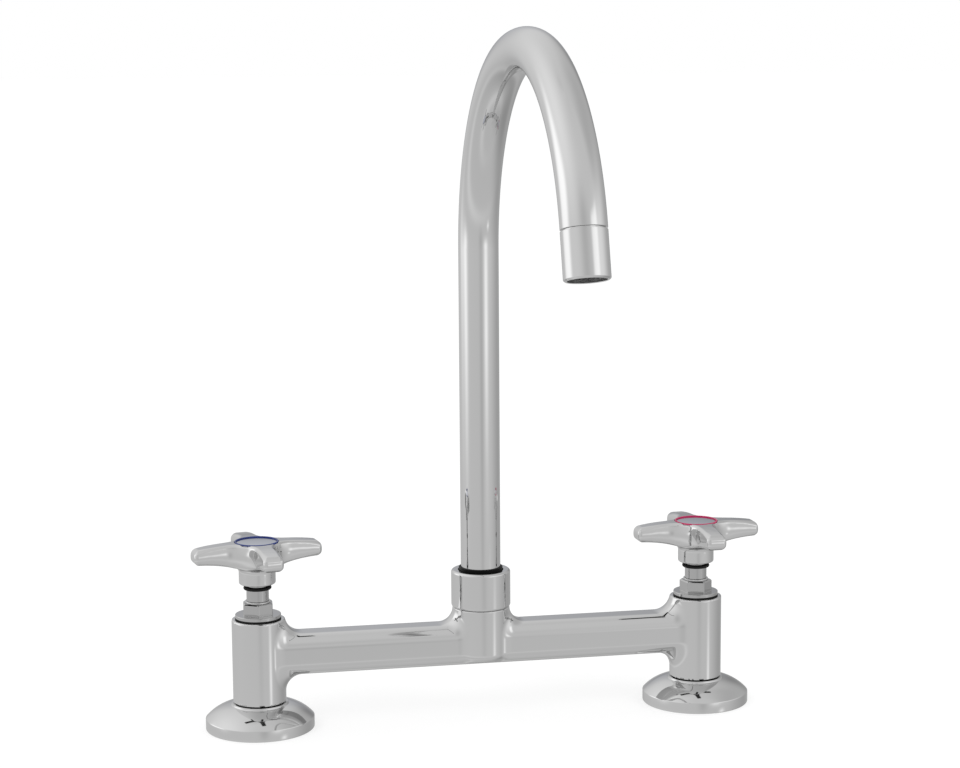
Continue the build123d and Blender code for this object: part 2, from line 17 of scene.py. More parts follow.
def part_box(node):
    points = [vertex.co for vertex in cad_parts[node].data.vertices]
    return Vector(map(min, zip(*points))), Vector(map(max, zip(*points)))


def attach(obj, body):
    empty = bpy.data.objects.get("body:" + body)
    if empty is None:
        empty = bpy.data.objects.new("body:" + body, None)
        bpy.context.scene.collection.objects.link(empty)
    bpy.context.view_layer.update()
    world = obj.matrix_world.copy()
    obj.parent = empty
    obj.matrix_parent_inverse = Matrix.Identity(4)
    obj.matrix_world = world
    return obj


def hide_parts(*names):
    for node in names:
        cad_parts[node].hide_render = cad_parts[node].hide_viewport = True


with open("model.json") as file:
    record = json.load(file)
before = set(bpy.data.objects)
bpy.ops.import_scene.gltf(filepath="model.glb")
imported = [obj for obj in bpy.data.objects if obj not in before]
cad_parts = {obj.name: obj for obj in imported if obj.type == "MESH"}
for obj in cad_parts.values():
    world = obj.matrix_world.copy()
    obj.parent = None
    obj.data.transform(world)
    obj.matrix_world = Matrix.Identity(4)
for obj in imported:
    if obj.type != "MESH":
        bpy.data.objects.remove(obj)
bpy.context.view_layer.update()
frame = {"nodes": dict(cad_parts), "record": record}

# %% [markdown]
# ## The camera
#
# The photograph was taken from a little to the left of the spout and a little above it, with a long
# lens. The place below comes from matching known points of the faucet, such as the feet of both
# pillars and the ends of the spout, with where the photograph shows them.

# %% Camera
IMAGE_WIDTH = 960
SENSOR_MM = 36.0
MM = 0.001
# The angles are in radians, and the focal length is in pixels of the photograph.
view_azimuth = -0.1887
view_elevation = 0.148
view_roll = -0.0070
view_distance = 993.29
view_target = np.array([0.3006, 0.0, 152.45])
focal_pixels = 2211.33


def camera_axes(azimuth, elevation, roll):
    """Right, up and backward directions of a camera that looks at its target from those angles."""
    back = np.array([sin(azimuth) * cos(elevation), -cos(azimuth) * cos(elevation), sin(elevation)])
    right = np.cross(-back, (0, 0, 1))
    right /= np.linalg.norm(right)
    up = np.cross(back, right)
    return (cos(roll) * right + sin(roll) * up, cos(roll) * up - sin(roll) * right, back)


right, up, back = camera_axes(view_azimuth, view_elevation, view_roll)
camera = bpy.data.objects.new("camera", bpy.data.cameras.new("camera"))
bpy.context.scene.collection.objects.link(camera)
camera.data.sensor_width = SENSOR_MM
camera.data.lens = focal_pixels * SENSOR_MM / IMAGE_WIDTH
stand = Matrix(np.column_stack((right, up, back)).tolist()).to_4x4()
stand.translation = ((view_target + view_distance * back) * MM).tolist()
camera.matrix_world = stand
bpy.context.scene.camera = camera
print("lens", round(camera.data.lens, 2), "mm, camera at", [round(v, 4) for v in stand.translation])

# %% [markdown]
# ## Finishes
#
# Bright chrome is a mirror. It has almost no colour of its own, so its finish is told by what it
# reflects and by how it bends that: a casting that was polished by hand is very slightly wavy, and
# a drawn tube is nearly perfect. Each finish below gets that from a slow noise in its bump, and a
# fine noise in its roughness stands for the faint haze that polishing leaves. So there are four
# chromes: one for the bridge and what is as smooth, one for the drawn tube, one for the small cast
# handles, which are the waviest, and a darker one for the valve bodies and stems, whose darker
# colour is painted shade from the handles above them.
#
# One builder makes every finish, because they all have the same three ingredients: a colour that
# may vary a little, a roughness that varies, and relief.

# %% Material builder
def finish(name, colour, metallic, roughness, haze, haze_size, wave=0.0, wave_size=20.0,
           grain=0.0, grain_size=0.4, shade=0.0, stretch=(1, 1, 1), coat=0.0, gloss=0.5,
           painted_shade=None):
    """A finish whose roughness runs over `roughness` +- `haze` in patches of haze_size.

    The relief is a slow wave plus a fine grain, each given as height and size in millimetres.
    `shade` is how far the colour falls and rises in the same patches, and `gloss` is how much a
    surface that isn't metal reflects, where 0.5 is usual. The last argument is a second colour of
    painted shade, which takes over where the piece's own attribute of that name rises to 1.
    """
    material = bpy.data.materials.new(name)
    material.use_nodes = True
    nodes = material.node_tree.nodes
    links = material.node_tree.links
    shader = nodes["Principled BSDF"]
    shader.inputs["Metallic"].default_value = metallic
    shader.inputs["Coat Weight"].default_value = coat
    shader.inputs["Specular IOR Level"].default_value = gloss
    coordinates = nodes.new("ShaderNodeTexCoord")
    mapping = nodes.new("ShaderNodeMapping")
    mapping.inputs["Scale"].default_value = stretch
    links.new(coordinates.outputs["Object"], mapping.inputs["Vector"])

    def noise(size, detail):
        """A noise whose patches are about `size` millimetres across."""
        texture = nodes.new("ShaderNodeTexNoise")
        texture.inputs["Scale"].default_value = 1 / (size * MM)
        texture.inputs["Detail"].default_value = detail
        links.new(mapping.outputs["Vector"], texture.inputs["Vector"])
        return texture.outputs["Fac"]

    def spread(source, low, high):
        """A noise stretched over low to high: most of its values lie between 0.3 and 0.7."""
        ramp = nodes.new("ShaderNodeMapRange")
        ramp.inputs["From Min"].default_value = 0.3
        ramp.inputs["From Max"].default_value = 0.7
        ramp.inputs["To Min"].default_value = low
        ramp.inputs["To Max"].default_value = high
        links.new(source, ramp.inputs["Value"])
        return ramp.outputs["Result"]

    def blend_colours(first, second, factor):
        """Takes the base colour from first to second as the factor goes from 0 to 1."""
        mix = nodes.new("ShaderNodeMix")
        mix.data_type = "RGBA"
        mix.inputs["A"].default_value = (*first, 1)
        mix.inputs["B"].default_value = (*second, 1)
        links.new(factor, mix.inputs["Factor"])
        links.new(mix.outputs["Result"], shader.inputs["Base Color"])

    patches = noise(haze_size, detail=3.0)
    links.new(spread(patches, max(roughness - haze, 0.0), roughness + haze), shader.inputs["Roughness"])
    if shade:
        dark = [c * (1 - shade) for c in colour]
        light = [min(c * (1 + shade), 1) for c in colour]
        blend_colours(dark, light, spread(patches, 0, 1))
    # Painted shade: a second, darker colour comes in where the piece's attribute rises.
    elif painted_shade:
        drawn = nodes.new("ShaderNodeAttribute")
        drawn.attribute_name = "painted_shade"
        blend_colours(colour, painted_shade, drawn.outputs["Fac"])
    else:
        shader.inputs["Base Color"].default_value = (*colour, 1)
    normal = None
    for height, size in ((wave, wave_size), (grain, grain_size)):
        if height:
            bump = nodes.new("ShaderNodeBump")
            bump.inputs["Distance"].default_value = height * MM
            links.new(noise(size, detail=1.0), bump.inputs["Height"])
            if normal:
                links.new(normal, bump.inputs["Normal"])
            normal = bump.outputs["Normal"]
    if normal:
        links.new(normal, shader.inputs["Normal"])
    return material


# %% Finishes
# The third colour is painted shade, nearly black, for the handles' undersides.
CHROME, SHADE_DARKENED_CHROME, PAINTED_SHADE_CHROME = (0.65, 0.65, 0.65), (0.50, 0.50, 0.50), (0.05, 0.05, 0.05)
# Each starts with its name, colour, metal or not, roughness, haze and the haze's size.
finishes = {
    "chrome_plate": finish("chrome_plate", CHROME, 1, 0.045, 0.015, 6, wave=0.012, wave_size=22),
    "plain_brass": finish("plain_brass", (0.72, 0.60, 0.36), 1, 0.28, 0.08, 3, grain=0.006,
                          shade=0.08, stretch=(0.2, 0.2, 4)),
    "stainless_steel": finish("stainless_steel", (0.62, 0.62, 0.62), 1, 0.30, 0.08, 2, grain=0.004,
                              shade=0.05),
    "black_rubber": finish("black_rubber", (0.010, 0.010, 0.010), 0, 0.62, 0.10, 2, grain=0.02,
                           shade=0.25, gloss=0.15),
    "black_nylon": finish("black_nylon", (0.003, 0.003, 0.003), 0, 0.34, 0.08, 3, grain=0.01,
                          shade=0.2, gloss=0.08),
    "white_acetal": finish("white_acetal", (0.80, 0.80, 0.78), 0, 0.38, 0.06, 3, grain=0.008,
                           shade=0.03),
    "index_silver": finish("index_silver", (0.60, 0.62, 0.68), 1, 0.09, 0.03, 2, wave=0.004,
                           wave_size=5),
    "index_blue": finish("index_blue", (0.02, 0.04, 0.20), 0, 0.25, 0.05, 1.5, grain=0.004,
                         shade=0.12, coat=0.1, gloss=0.3),
    "index_red": finish("index_red", (0.55, 0.02, 0.12), 0, 0.25, 0.05, 1.5, grain=0.004,
                        shade=0.10, coat=0.1, gloss=0.3),
}
tube_chrome = finish("tube_chrome", CHROME, 1, 0.03, 0.01, 8, wave=0.006, wave_size=30,
                     stretch=(1, 1, 0.3))
# The handle chrome carries painted shade on its undersides.
cast_chrome = finish("cast_chrome", CHROME, 1, 0.05, 0.02, 4, wave=0.10, wave_size=6,
                     painted_shade=PAINTED_SHADE_CHROME)
# A darker copy of the chrome, whose darker colour is painted shade for the valve bodies and stems under
# the handles.
shade_darkened_chrome = finish("shade_darkened_chrome", SHADE_DARKENED_CHROME, 1, 0.06, 0.02, 3, wave=0.02, wave_size=5)
print("finishes:", ", ".join(finishes))

# %% [markdown]
# The pieces inside the faucet stay as the CAD made them: their shapes are right, and only their
# finish is missing. The record says which slot each one takes, so a loop hands the finishes out.

# %% Finishes of the CAD's own pieces
slot_of = {part["node"]: part["material_slot"] for part in frame["record"]["subparts"]}
for name, node in frame["nodes"].items():
    node.data.materials.clear()
    node.data.materials.append(finishes[slot_of[name]])
print("finished", len(slot_of), "CAD nodes")

# %% [markdown]
# ## From points to a mesh
#
# Chrome shows every fault in a surface, so how its normals are found matters as much as its points.
# Where a flat face meets a small rounding, the plain average of the faces would tilt the flat
# face's edge and put a false gradient on it. Weighting each face by its area lets the flat face
# keep its own direction, and the turn happens in the rounding, as it does on metal.

# %% Mesh helpers
def area_normals(points, faces):
    """Normals at points: the sum of the touching faces' normals, each as long as its face is large.

    A quad's normal is half the cross product of its diagonals, whose length is the quad's area. A
    triangle is written as a quad whose last corner repeats, and the same words hold for it.
    """
    corner = points[faces]
    across = np.cross(corner[:, 2] - corner[:, 0], corner[:, 3] - corner[:, 1])
    total = np.zeros_like(points)
    for k in range(4):
        np.add.at(total, faces[:, k], across)
    return total / np.maximum(np.linalg.norm(total, axis=1, keepdims=True), 1e-12)


def piece(name, points, faces, body, slot, nodes, normals=None, material=None):
    """Makes a mesh object that rides on a body and stands for CAD nodes.

    The points are in millimetres, and a face whose last corner repeats becomes a triangle.
    """
    if normals is None:
        normals = area_normals(points, faces)
    rows = faces.tolist()
    for k in np.flatnonzero(faces[:, 2] == faces[:, 3]):
        rows[k] = rows[k][:3]
    mesh = bpy.data.meshes.new(name)
    mesh.from_pydata((points * MM).tolist(), [], rows)
    mesh.shade_smooth()
    mesh.normals_split_custom_set_from_vertices(normals.tolist())
    mesh.materials.append(material or finishes[slot])
    thing = bpy.data.objects.new(name, mesh)
    bpy.context.scene.collection.objects.link(thing)
    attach(thing, body)
    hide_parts(*nodes)
    print(name, len(rows), "faces")
    return thing


def grid_faces(rows, columns):
    """Quads between neighbouring points of a grid that closes on itself both ways."""
    i, j = np.meshgrid(np.arange(rows), np.arange(columns), indexing="ij")
    down, along = (i + 1) % rows, (j + 1) % columns
    corners = (i * columns + j, i * columns + along, down * columns + along, down * columns + j)
    return np.stack(corners, axis=-1).reshape(-1, 4)


# %% [markdown]
# ## Turned pieces
#
# Most of a faucet comes off a lathe, so most pieces here are an outline spun round an axis. An
# outline is a few corners, each with a radius, a height and a rounding, because no edge on a real
# part is truly sharp and the roundings are what catches the light. Spanner hexagons and squares are
# the same idea with one change: the radius also depends on the angle.

# %% Outlines and turning
def rounded(corners, steps=6):
    """An outline as rows of radius, height and number of sides, with each corner turned into an arc.

    Where the sides run along unit vectors a and b from the corner and meet at an angle f, the arc
    of radius q touches them q / tan(f / 2) away, and its centre lies q / sin(f / 2) away on the
    line halfway between them.
    """
    rows = []
    count = len(corners)
    for k, (radius, height, rounding, sides) in enumerate(corners):
        here = np.array([radius, height])
        if radius == 0 or rounding == 0:
            rows.append(np.array([[radius, height, sides]]))
            continue
        before = np.array(corners[(k - 1) % count][:2]) - here
        after = np.array(corners[(k + 1) % count][:2]) - here
        a, b = before / np.linalg.norm(before), after / np.linalg.norm(after)
        half = np.arccos(np.clip(a @ b, -1, 1)) / 2
        centre = here + (a + b) / np.linalg.norm(a + b) * rounding / np.sin(half)
        first = here + a * rounding / np.tan(half) - centre
        last = here + b * rounding / np.tan(half) - centre
        sweep = np.arctan2(first[0] * last[1] - first[1] * last[0], first @ last)
        angle = np.linspace(0, sweep, steps + 1)[:, None]
        arc = centre + np.hstack((first[0] * np.cos(angle) - first[1] * np.sin(angle),
                                  first[0] * np.sin(angle) + first[1] * np.cos(angle)))
        rows.append(np.hstack((arc, np.full((steps + 1, 1), sides))))
    return np.vstack(rows)


def polygon_shape(angle, sides, sharpness=48):
    """How far a polygon with rounded corners reaches at an angle, if its flats are 1 away.

    Each flat's direction adds the power `sharpness` of the cosine of the angle to it, and the root
    of the sum is one over the reach. The higher the power, the sharper the corners.
    """
    flats = np.arange(sides) * 2 * pi / sides
    reach = np.maximum(np.cos(angle[:, None] - flats), 0) ** sharpness
    return reach.sum(axis=1) ** (-1 / sharpness)


def turned(corners, origin=(0, 0, 0), axis=(0, 0, 1), turn=0.0, segments=128, steps=6):
    """Points and faces of an outline spun round an axis.

    The point at angle t on a row of radius r and height h is origin + r s(t) (e1 cos t + e2 sin t)
    + h axis. s(t) is 1 on round rows and polygon_shape on the others. Outlines that touch the axis
    end there in one point.
    """
    axis = np.array(axis, float)
    first = np.cross((0, 1, 0), axis)
    first /= np.linalg.norm(first)
    second = np.cross(axis, first)
    rows = rounded(corners, steps)
    r, h = rows[:, 0], rows[:, 1]
    if np.sum(r * np.roll(h, -1) - np.roll(r, -1) * h) < 0:
        rows = rows[::-1]
        r, h = rows[:, 0], rows[:, 1]
    angle = np.arange(segments) * 2 * pi / segments
    shape = np.ones((len(rows), segments))
    for sides in (4, 6):
        shape[rows[:, 2] == sides] = polygon_shape(angle - radians(turn), sides)
    spoke = np.cos(angle)[:, None] * first + np.sin(angle)[:, None] * second
    points = (np.array(origin, float) + (r[:, None] * shape)[..., None] * spoke
              + h[:, None, None] * axis)
    faces = grid_faces(len(rows), segments)
    for row in np.flatnonzero(r == 0):
        faces[faces // segments == row] = row * segments
    return tidy(points.reshape(-1, 3), faces)


def tidy(points, faces):
    """Drops the faces that shrank to nothing at the axis, and the points that no face uses.

    A face with one side on the axis is a triangle, and its last corner is written twice.
    """
    shrunk = faces[:, 0] == faces[:, 1]
    faces = np.where(shrunk[:, None], faces[:, [0, 2, 3, 3]], faces)
    faces = faces[faces[:, 0] != faces[:, 2]]
    faces = faces[faces[:, 1] != faces[:, 2]]
    used, inverse = np.unique(faces, return_inverse=True)
    return points[used], inverse.reshape(-1, 4)


# %% [markdown]
# ## Base flanges
#
# Each pillar stands on a forged dome with an upright rim. The dome bulges a little, so its outline
# is an arc rather than a straight cone, and it ends in a short upright neck under the pillar.
# Underneath it is hollow for the pipe's thread and for a rubber ring, and on top it carries the
# threaded nipple that the pillar screws on to.

# %% Base flanges
inlet_x = {"cold": -101.5, "hot": 101.5}
flange_r, flange_rim, flange_h = 24.4, 4.7, 11.8
neck_foot, flange_top_r, dome_bulge, dome_steps = 10.9, 12.5, 1.2, 25
pipe_r, pipe_depth = 9.3, 9.0
nipple_r, nipple_bore_r, nipple_top = 8.4, 6.0, 20.8
groove_inner_r, groove_outer_r, groove_depth = 15.6, 21.6, 1.5


def arc_corners(start, end, bulge, count):
    """Corners along an arc between two (radius, height) points that stands `bulge` off its chord."""
    t = np.linspace(0, 1, count)
    start, end = np.array(start), np.array(end)
    chord = end - start
    out = np.array([chord[1], -chord[0]]) / np.hypot(*chord)
    line = start + t[:, None] * chord + (4 * bulge * t * (1 - t))[:, None] * out
    return [(r, h, 0, 0) for r, h in line]


outline = [(pipe_r, 0, 0.3, 0), (groove_inner_r, 0, 0.2, 0), (groove_inner_r, groove_depth, 0.1, 0),
           (groove_outer_r, groove_depth, 0.1, 0), (groove_outer_r, 0, 0.2, 0), (flange_r, 0, 0.4, 0)]
outline += arc_corners((flange_r, flange_rim), (flange_top_r, neck_foot), dome_bulge, dome_steps)
outline += [(flange_top_r, flange_h, 0.15, 0), (nipple_r, flange_h, 0.1, 0),
            (nipple_r, nipple_top, 0.4, 0), (nipple_bore_r, nipple_top, 0.3, 0),
            (nipple_bore_r, pipe_depth, 0.1, 0), (pipe_r, pipe_depth, 0.1, 0)]
for side, x in inlet_x.items():
    points, faces = turned(outline, origin=(x, 0, 0), segments=160)
    piece(f"flange_{side}", points, faces, "bridge", "chrome_plate", [f"base_flange_{side}"])
    low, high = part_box(f"base_flange_{side}")
    print("  CAD from", round(low.z / MM, 2), "to", round(high.z / MM, 2),
          "and mesh from", round(points[:, 2].min(), 2), "to", round(points[:, 2].max(), 2))

# %% [markdown]
# ## Rings that show as dark lines
#
# A thin black washer under each pillar and a black gasket under each valve body are well under a
# millimetre high, but the photograph shows both as crisp dark lines, so they are real rings here.
# So are the spring clip above the valve body and the thick rubber ring close under the handle.

# %% Washers, gaskets, clips and dust rings
foot_z, pillar_top = 12.08, 50.0
# Inner and outer radius, bottom and top, rounding, finish, and what the ring rides on.
ring_sizes = {
    "foot_washer": (8.5, 11.3, flange_h, foot_z, 0.08, "black_rubber", "bridge"),
    "headwork_gasket": (8.6, 10.3, pillar_top, 50.7, 0.12, "black_rubber", "bridge"),
    "stem_clip": (4.45, 5.7, 57.55, 58.35, 0.15, "stainless_steel", "valve"),
    "dust_ring": (4.775, 6.275, 63.5, 65.0, 0.72, "black_rubber", "valve"),
}
for side, x in inlet_x.items():
    for name, (inner, outer, low, high, rounding, slot, carrier) in ring_sizes.items():
        outline = [(inner, low, rounding, 0), (outer, low, rounding, 0),
                   (outer, high, rounding, 0), (inner, high, rounding, 0)]
        points, faces = turned(outline, origin=(x, 0, 0), segments=96)
        body = {"bridge": "bridge", "valve": f"{side}_valve"}[carrier]
        piece(f"{name}_ring_{side}", points, faces, body, slot, [f"{name}_{side}"])

# %% [markdown]
# ## Valve bodies and stems
#
# The valve body is brass turned on a lathe, with a hexagon milled on it for the spanner, all
# chromed. Each one stopped at its own angle when it was tightened. The stem that turns in it is
# round where it shows, with a groove for the clip and one for the rubber ring, and square where
# the handle sits on it. A screw's hole goes down into it from its top.

# %% Outline of the valve bodies
# Where a corner of the hexagon points, in degrees. Its flats are 30 degrees further round.
hex_turn = {"cold": 26.0, "hot": -15.0}
shank_r, shank_end, disc_r, disc_low, disc_high = 8.5, 39.2, 10.25, 50.7, 52.2
hex_flat, hex_top, hex_chamfer = 6.5, 57.5, 0.5
stem_r, stem_gap = 5.0, 0.05
# The flat rings that are left round the hexagon's foot and inside its top.
hex_surround, hex_land = 1.3, 0.6
valve_body = [
    (stem_r + stem_gap, shank_end, 0.3, 0), (shank_r, shank_end, 0.4, 0),
    (shank_r, disc_low, 0.1, 0), (disc_r, disc_low, 0.15, 0), (disc_r, disc_high, 0.25, 0),
    (hex_flat + hex_surround, disc_high, 0, 0), (hex_flat, disc_high, 0.15, 6),
    (hex_flat, hex_top - hex_chamfer, 0.2, 6), (hex_flat - hex_chamfer, hex_top, 0.2, 6),
    (stem_r + hex_land, hex_top, 0, 0), (stem_r + stem_gap, hex_top, 0.15, 0)]

# %% Outline of the stems
handle_turn = {"cold": 10.0, "hot": 3.0}
stem_end, stem_top = 34.45, 67.1
thread_r, collar_r, collar_low, collar_high = 3.4, 5.6, 44.55, 46.65
square_half, square_top, square_surround = 2.9, 77.4, 1.2
tapped_r, tapped_floor = 2.05, square_top - 9
# Radius of the floor, bottom and top: first the clip's groove, then the rubber ring's.
stem_grooves = ((4.4, hex_top + stem_gap, 58.45), (4.75, 63.4, 65.1))
stem = [(0, stem_end, 0, 0), (thread_r, stem_end, 0.3, 0), (thread_r, collar_low, 0.1, 0),
        (collar_r, collar_low, 0.2, 0), (collar_r, collar_high, 0.2, 0), (stem_r, collar_high, 0.1, 0)]
for floor_r, low, high in stem_grooves:
    stem += [(stem_r, low, 0.05, 0), (floor_r, low, 0.05, 0), (floor_r, high, 0.05, 0),
             (stem_r, high, 0.05, 0)]
stem += [(stem_r, stem_top, 0.3, 0), (square_half + square_surround, stem_top, 0, 0),
         (square_half, stem_top, 0.1, 4), (square_half, square_top, 0.2, 4),
         (tapped_r, square_top, 0.1, 0), (tapped_r, tapped_floor, 0.1, 0), (0, tapped_floor, 0, 0)]

# %% Valve bodies and stems
# Both get the darker chrome, whose darker colour is painted shade from the handle above.
for side, x in inlet_x.items():
    points, faces = turned(valve_body, origin=(x, 0, 0), turn=hex_turn[side] + 30, segments=240)
    piece(f"valve_body_{side}", points, faces, "bridge", "chrome_plate", [f"headwork_{side}"],
          material=shade_darkened_chrome)
    points, faces = turned(stem, origin=(x, 0, 0), turn=handle_turn[side], segments=128)
    piece(f"spindle_{side}", points, faces, f"{side}_valve", "chrome_plate", [f"stem_{side}"],
          material=shade_darkened_chrome)

# %% [markdown]
# ## Index buttons
#
# A coloured band marks each handle, blue for cold and red for hot, round a plain silver disc that
# is very slightly domed. The band stands a fifth of a millimetre proud, which is why its front is
# seen from so low. The disc stays bare. Its dome is a parabola: it falls with the square of the
# distance from the axis.

# %% Index buttons
band_finish = {"cold": "index_blue", "hot": "index_red"}
handle_top, index_floor, index_r, band_w, index_dome = 85.3, 82.7, 9.796, 0.65, 0.35
band_top = handle_top + 0.18
disc_edge = index_r - band_w
button_r = disc_edge - 0.05
band = [(disc_edge, index_floor, 0.1, 0), (index_r, index_floor, 0.1, 0),
        (index_r, band_top, 0.15, 0), (disc_edge, band_top, 0.15, 0)]
button = [(0, index_floor, 0, 0), (button_r, index_floor, 0.1, 0),
          (button_r, handle_top - index_dome, 0.15, 0)]
button += [(r, handle_top - index_dome * (r / button_r) ** 2, 0, 0)
           for r in np.linspace(button_r - 0.3, 0, 16)]
for side, x in inlet_x.items():
    points, faces = turned(band, origin=(x, 0, 0), segments=128)
    piece(f"band_{side}", points, faces, f"{side}_valve", band_finish[side], [f"index_ring_{side}"])
    points, faces = turned(button, origin=(x, 0, 0), segments=128)
    piece(f"button_{side}", points, faces, f"{side}_valve", "index_silver", [f"index_disc_{side}"])

# %% [markdown]
# ## Nut and bush
#
# A plain round nut with softened edges sits over the boss, and holds a black bush that stands up
# round the foot of the spout. The bush is the darkest thing in the picture.

# %% Nut and bush
boss_top, nut_top, nut_r, nut_edge = 50.5, 67.55, 13.45, 1.2
nut_bore_r, nut_mouth_r, nut_shelf = 11.48, 10.27, 65.1
bush_r, bush_top, bush_bore_r = 9.97, 68.95, 9.05
bush_foot_r, bush_low, bush_shelf = 11.28, 63.1, 65.05
outline = [(nut_bore_r, boss_top, 0.3, 0), (nut_r, boss_top, nut_edge, 0), (nut_r, nut_top, nut_edge, 0),
           (nut_mouth_r, nut_top, 0.25, 0), (nut_mouth_r, nut_shelf, 0.1, 0),
           (nut_bore_r, nut_shelf, 0.1, 0)]
points, faces = turned(outline, segments=160, steps=10)
piece("round_nut", points, faces, "bridge", "chrome_plate", ["spout_nut"])
outline = [(bush_bore_r, bush_low, 0.1, 0), (bush_foot_r, bush_low, 0.1, 0),
           (bush_foot_r, bush_shelf, 0.1, 0), (bush_r, bush_shelf, 0.1, 0),
           (bush_r, bush_top, 0.4, 0), (bush_bore_r, bush_top, 0.25, 0)]
points, faces = turned(outline, segments=128)
piece("black_bush", points, faces, "bridge", "black_nylon", ["spout_bush"])

# %% [markdown]
# ## The gooseneck
#
# The spout is a drawn tube, bent once. It is a profile carried along a path: a straight rise, then
# an arc. The wall is real too, so the path is walked once on the outside and back on the inside.
# A small rounding joins the two at the outlet's end, and a flat ring at the foot, which is hidden
# under the nut. Only the arc needs many stations.

# %% Gooseneck
tube_r, tube_bore_r, tube_foot, bend_start = 9.0, 8.0, 53.0, 213.7
bend_r, bend_angle, spout_turn = 87.3, radians(165.9), radians(2.3)
foot_lift, end_rounding, tube_segments = 0.3, 0.15, 112
out_dir = np.array([sin(spout_turn), -cos(spout_turn), 0])
side_dir = np.array([cos(spout_turn), sin(spout_turn), 0])


def spout_line(s):
    """Points and directions on the tube's centre line at distances s above its foot.

    Up to the bend the line is straight up. Past it, by an angle a, the point has moved
    R (1 - cos a) outwards and R sin a upwards from the start of the bend.
    """
    a = np.maximum(s - straight_length, 0) / bend_r
    rise = np.minimum(s + tube_foot, bend_start) + bend_r * np.sin(a)
    centre = (bend_r * (1 - np.cos(a)))[:, None] * out_dir + rise[:, None] * [0, 0, 1]
    along = np.sin(a)[:, None] * out_dir + np.cos(a)[:, None] * [0, 0, 1]
    return centre, along


straight_length = bend_start - tube_foot
tube_length = straight_length + bend_r * bend_angle
straight = np.linspace(foot_lift, straight_length, 12)
bent = np.linspace(straight_length, tube_length - end_rounding, 141)[1:]
quarter = np.linspace(0, pi / 2, 5)[1:]
end_s = tube_length - end_rounding * (1 - np.sin(quarter))
end_r = tube_r - end_rounding * (1 - np.cos(quarter))
stations = np.concatenate((straight, bent, end_s, [tube_length], bent[::-1], straight[::-1]))
radii = np.concatenate((np.full(len(straight) + len(bent), tube_r), end_r,
                        np.full(1 + len(bent) + len(straight), tube_bore_r)))
centre, along = spout_line(stations)
angle = np.arange(tube_segments) * 2 * pi / tube_segments
lift = np.cross(side_dir, along)
ring = np.cos(angle)[None, :, None] * side_dir + np.sin(angle)[None, :, None] * lift[:, None, :]
points = (centre[:, None, :] + radii[:, None, None] * ring).reshape(-1, 3)
# Going round from side_dir to lift, the grid's faces look inwards, so each is turned over.
faces = grid_faces(len(stations), tube_segments)[:, ::-1]
piece("gooseneck", points, faces, "spout", "chrome_plate", ["spout_tube"], material=tube_chrome)

# %% [markdown]
# ## The outlet
#
# The end cap screws into the tube, and a fine groove shows where it begins. It is turned work like
# the nut, but round an axis that points down at the sink along the end of the bend.

# %% Outlet
outlet_length, outlet_chamfer, outlet_bore_r, outlet_floor = 19.3, 0.6, tube_r - 1.4, 1.0
seam, seam_r = 0.65, tube_r - 0.9
spigot_r, spigot_bore_r, spigot_length = 7.7, 6.7, 4.0
(outlet_start,), (down,) = spout_line(np.array([tube_length]))
outline = [(spigot_bore_r, -spigot_length, 0.1, 0), (spigot_r, -spigot_length, 0.1, 0),
           (spigot_r, 0, 0.05, 0), (seam_r, 0, 0.05, 0), (seam_r, seam, 0.05, 0),
           (tube_r, seam, 0.15, 0), (tube_r, outlet_length - outlet_chamfer, 0.4, 0),
           (tube_r - outlet_chamfer, outlet_length, 0.3, 0), (outlet_bore_r, outlet_length, 0.2, 0),
           (outlet_bore_r, outlet_floor, 0.1, 0), (spigot_bore_r, outlet_floor, 0.1, 0)]
points, faces = turned(outline, origin=outlet_start, axis=down, segments=128)
piece("outlet_cap", points, faces, "spout", "chrome_plate", ["outlet_housing"])

# %% [markdown]
# ## Shapes from a distance field
#
# The bridge and the handles are castings. Their faces run into each other through soft blends, and
# no outline spun or carried along a path gives those. A distance field does: it says for any point
# how far it is outside the metal, and less than zero means inside. Plain bodies are easy to write
# down, and a blend is what a ball leaves when it is rolled along the corner between two of them.
#
# To make a mesh, the field is sampled on a grid. Each small cube that the surface passes through
# gets one point, neighbouring points are joined, and every point is then slid on to the surface
# exactly. The field's own slope gives the normals, so the reflections stay smooth.

# %% Fields and their meshes
def rolled(a, b, facing, radius):
    """The distance to two bodies together, with a ball's blend in the corner between them.

    a and b are the distances, and `facing` is the cosine c between their outward directions. With
    u = radius - a and v = radius - b, the ball's centre is sqrt((u u + v v - 2 c u v) / (1 - c c))
    away. That holds between the two lines of touch, where u > c v and v > c u, and elsewhere the
    nearer body counts alone.
    """
    c = np.clip(facing, -0.98, 0.98)
    u, v = radius - a, radius - b
    away = np.sqrt(np.maximum(u * u + v * v - 2 * c * u * v, 0) / (1 - c * c))
    return np.where((u > c * v) & (v > c * u), radius - away, np.minimum(a, b))


def trimmed(a, b, rounding):
    """The distance to what two bodies share, with their common edge rounded off."""
    u, v = np.maximum(rounding + a, 0), np.maximum(rounding + b, 0)
    return np.minimum(-rounding, np.maximum(a, b)) + np.hypot(u, v)


def slope(field, points, step=0.01):
    """The field's slope at points, from its values a small step to either side of each."""
    columns = []
    for k in range(3):
        shift = np.zeros(3)
        shift[k] = step
        columns.append(field(points + shift) - field(points - shift))
    found = np.stack(columns, axis=-1) / (2 * step)
    return found / np.maximum(np.linalg.norm(found, axis=-1, keepdims=True), 1e-9)


